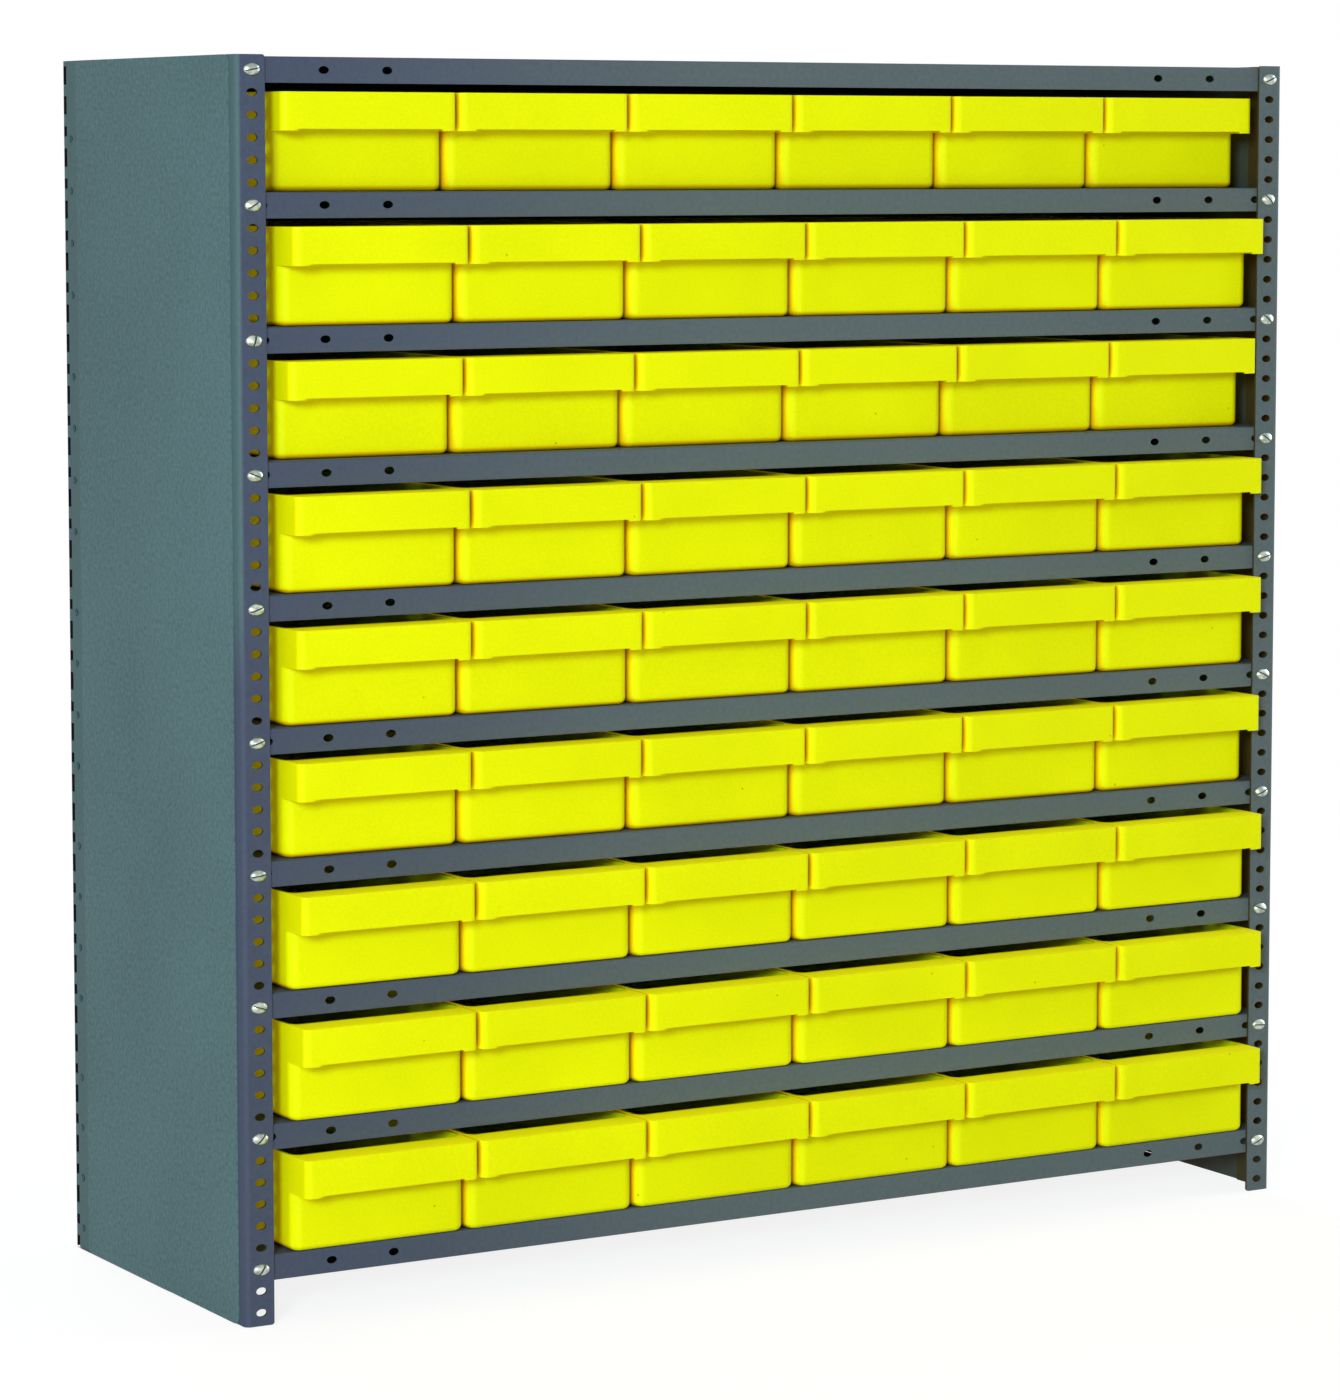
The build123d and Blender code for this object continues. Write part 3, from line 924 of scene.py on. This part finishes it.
class SHELVING_OT_stage(bpy.types.Operator):
    """Set the floor, the light and the camera"""

    bl_idname = "shelving.stage"
    bl_label = "Stage"

    # Tints of the lights and of the sky
    cool, warm, sand = (0.72, 1.0, 1.16), (1.0, 0.62, 0.3), (1.0, 0.86, 0.62)
    sky = (1.0, 0.7, 0.4, 1.0)
    # Each soft light's place, size, power and tint
    lamps = {
        "key_light": ((-3.83, -4.4, 1.85), 1.0, 234, cool),
        "low_light": ((-2.25, -3.0, 0.12), 1.2, 41, warm),
        "front_low_light": ((-0.8, -3.7, 0.12), 1.0, 26, warm),
        "left_light": ((-4.0, -2.2, 0.9), 1.6, 12, sand),
        "right_light": ((4.6, -0.6, 2.2), 2.4, 95, cool),
        "right_low_light": ((3.6, -1.0, 0.12), 1.2, 20, warm),
        "rear_light": ((0.6, 4.6, 2.2), 2.4, 120, cool),
        "rear_low_light": ((0.4, 3.6, 0.12), 1.2, 24, warm),
    }
    lamp_aim = (0, 0, 0.45)

    camera_place = (-1.88499, -3.16603, 0.83123)
    camera_lens, camera_shift = 122.533, -0.065
    # The camera looks down and to the right by these degrees
    camera_down, camera_right = 5.429, 30.471

    def execute(self, context):
        scene = context.scene
        scene.view_settings.view_transform = "Standard"
        self.lay_floor(scene)
        self.light_world(scene)
        for name, (place, size, power, tint) in self.lamps.items():
            self.hang_light(scene, name, place, size, power, tint)
        self.set_camera(scene)
        return {"FINISHED"}

    def set_camera(self, scene):
        """A camera at the photograph's viewing angle."""
        lens = bpy.data.cameras.new("camera")
        lens.lens = self.camera_lens
        lens.sensor_width = 36.0
        lens.shift_y = self.camera_shift
        lens.clip_end = 50.0
        camera = bpy.data.objects.new("camera", lens)
        camera.location = self.camera_place
        camera.rotation_euler = (math.radians(90 - self.camera_down), 0, -math.radians(self.camera_right))
        scene.collection.objects.link(camera)
        scene.camera = camera

    def lay_floor(self, scene):
        """A floor just under the unit's feet."""
        half_width, foot_gap = 12.0, 0.5 * MM
        bm = bmesh.new()
        bmesh.ops.create_grid(bm, x_segments=1, y_segments=1, size=half_width)
        bmesh.ops.translate(bm, vec=(0, 0, cad_box[0].z - foot_gap), verts=bm.verts[:])
        mesh = bpy.data.meshes.new("floor")
        bm.to_mesh(mesh)
        bm.free()
        mesh.materials.append(self.pale_floor(scene))
        floor = bpy.data.objects.new("floor", mesh)
        scene.collection.objects.link(floor)

    def pale_floor(self, scene):
        """Matt pale paper that stays near white to the camera and keeps the unit's shadow, with a painted shade deep
        under the lowest shelf.
        """
        own_light, lit_share, gloom_share = 0.86, 0.22, 0.03
        shadow_from, shadow_to = 0.9, 2.4
        gloom_from, gloom_to, gloom_rear = 122 * MM, 138 * MM, 10 * MM
        material, tree, output, place = new_material("pale_floor")
        matt = add_node(tree, "BsdfDiffuse", {"Color": scene.shelving_colours.floor})
        glow = add_node(tree, "Emission", {"Color": WHITE, "Strength": own_light})
        dim = add_node(tree, "BsdfDiffuse", {"Color": (lit_share, lit_share, lit_share, 1)})
        near = add_node(tree, "AddShader", {0: glow.outputs[0], 1: dim.outputs[0]})
        far = add_node(tree, "Emission", {"Color": WHITE, "Strength": 1.0})
        reach = add_node(tree, "VectorMath", {0: place}, operation="LENGTH")
        fade = add_node(
            tree, "MapRange", {"Value": reach.outputs["Value"], "From Min": shadow_from, "From Max": shadow_to}
        )
        lit = add_node(tree, "MixShader", {0: fade.outputs[0], 1: near.outputs[0], 2: far.outputs[0]})
        # Painted shade: deep under the lowest shelf the floor turns near black, as no light would reach it there
        spot = add_node(tree, "SeparateXYZ", {"Vector": place})
        aside = add_node(tree, "Math", {0: spot.outputs["X"]}, operation="ABSOLUTE")
        shade = 1.0
        for value, light, dark in (
            (spot.outputs["Y"], shelf_low.y + gloom_from, shelf_low.y + gloom_to),
            (spot.outputs["Y"], shelf_high.y, shelf_high.y - gloom_rear),
            (aside.outputs[0], side_high.x, side_high.x - scene.shelving_frame_sizes.panel_gauge),
        ):
            edge = add_node(tree, "MapRange", {"Value": value, "From Min": light, "From Max": dark})
            shade = add_node(tree, "Math", {0: shade, 1: edge.outputs[0]}, operation="MULTIPLY").outputs[0]
        gloom = add_node(tree, "BsdfDiffuse", {"Color": (gloom_share, gloom_share, gloom_share, 1)})
        shown = add_node(tree, "MixShader", {0: shade, 1: lit.outputs[0], 2: gloom.outputs[0]})
        mixed = add_node(tree, "MixShader", {0: backdrop_rays(tree), 1: matt.outputs[0], 2: shown.outputs[0]})
        tree.links.new(mixed.outputs[0], output.inputs["Surface"])
        return material

    def light_world(self, scene):
        """An even soft warm sky that shows white behind the unit."""
        world = bpy.data.worlds.new("studio")
        world.use_nodes = True
        tree = world.node_tree
        tree.nodes.clear()
        output = add_node(tree, "OutputWorld")
        soft = add_node(tree, "Background", {"Color": self.sky, "Strength": 0.3})
        white = add_node(tree, "Background", {"Color": WHITE, "Strength": 1.0})
        mixed = add_node(tree, "MixShader", {0: backdrop_rays(tree), 1: soft.outputs[0], 2: white.outputs[0]})
        tree.links.new(mixed.outputs[0], output.inputs["Surface"])
        scene.world = world

    def hang_light(self, scene, name, place, size, power, tint):
        """A square soft light that faces the unit."""
        lamp = bpy.data.lights.new(name, "AREA")
        lamp.shape = "SQUARE"
        lamp.size = size
        lamp.energy = power
        lamp.color = tint
        light = bpy.data.objects.new(name, lamp)
        light.location = place
        light.rotation_euler = (Vector(self.lamp_aim) - Vector(place)).to_track_quat("-Z", "Y").to_euler()
        scene.collection.objects.link(light)


class SHELVING_PT_sidebar(bpy.types.Panel):
    """Lists the pieces of the shelving unit"""

    bl_idname = "SHELVING_PT_sidebar"
    bl_label = "Shelving unit"
    bl_space_type = "VIEW_3D"
    bl_region_type = "UI"
    bl_category = "Shelving"

    def draw(self, context):
        for operator in PIECE_OPERATORS:
            self.layout.operator(operator.bl_idname)
        for settings in SCENE_SETTINGS:
            group = getattr(context.scene, settings)
            for name in group.__annotations__:
                self.layout.prop(group, name)


PIECE_OPERATORS = (
    SHELVING_OT_front_posts,
    SHELVING_OT_rear_posts,
    SHELVING_OT_side_panels,
    SHELVING_OT_back_panel,
    SHELVING_OT_shelves,
    SHELVING_OT_bolts,
    SHELVING_OT_drawers,
    SHELVING_OT_stage,
)
SCENE_SETTINGS = {
    "shelving_frame_sizes": ShelvingFrameSizes,
    "shelving_drawer_sizes": ShelvingDrawerSizes,
    "shelving_colours": ShelvingColours,
}
CLASSES = (*SCENE_SETTINGS.values(), *PIECE_OPERATORS, SHELVING_PT_sidebar)


def register():
    """Adds the classes and the scene's settings."""
    for cls in CLASSES:
        bpy.utils.register_class(cls)
    for settings, group in SCENE_SETTINGS.items():
        setattr(bpy.types.Scene, settings, PointerProperty(type=group))


def unregister():
    """Removes the settings and the classes."""
    for settings in SCENE_SETTINGS:
        delattr(bpy.types.Scene, settings)
    for cls in reversed(CLASSES):
        bpy.utils.unregister_class(cls)


def main():
    """Builds every piece."""
    register()
    bpy.ops.shelving.front_posts()
    bpy.ops.shelving.rear_posts()
    bpy.ops.shelving.side_panels()
    bpy.ops.shelving.back_panel()
    bpy.ops.shelving.shelves()
    bpy.ops.shelving.bolts()
    bpy.ops.shelving.drawers()
    bpy.ops.shelving.stage()


if __name__ == "__main__":
    main()
